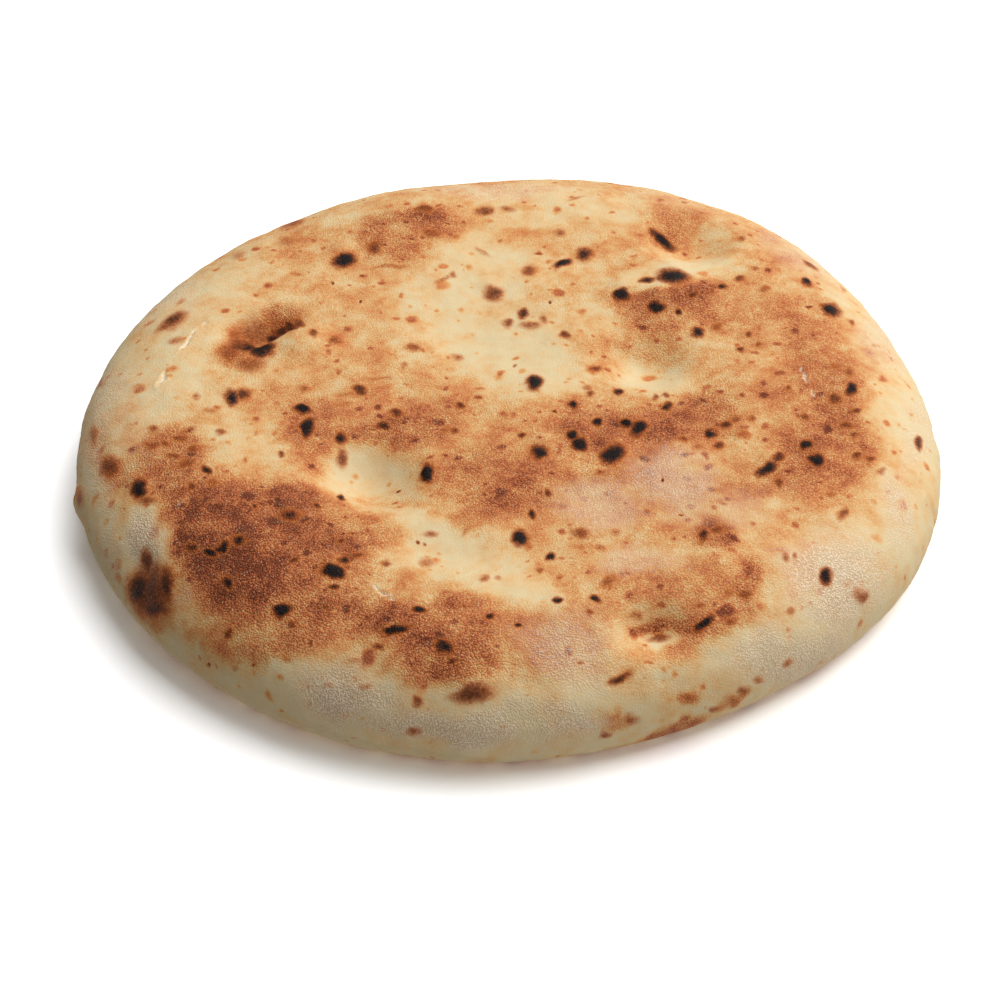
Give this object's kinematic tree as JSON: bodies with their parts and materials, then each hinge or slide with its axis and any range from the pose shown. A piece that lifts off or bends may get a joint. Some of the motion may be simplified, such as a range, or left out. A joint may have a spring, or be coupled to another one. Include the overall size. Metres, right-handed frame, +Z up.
{
  "type": "focaccia",
  "caption": "Round flat loaf of stone-baked focaccia, whole and uncut, with a puffed rim, fingertip dimples and a blistered, scorched, floury crust.",
  "frame": {"origin": "middle of the loaf's flat base, at the bottom centre of its box", "axes": "+Z up through the loaf's thickness, -Y towards the front shown in the picture, +X to its right"},
  "size_m": [0.2606, 0.2594, 0.0404],
  "materials": {
    "crust": "baked bread crust, dull and floury, cream to brown with scorched blisters"
  },
  "bodies": {
    "root": {"focaccia": "crust"}
  },
  "joints": []
}
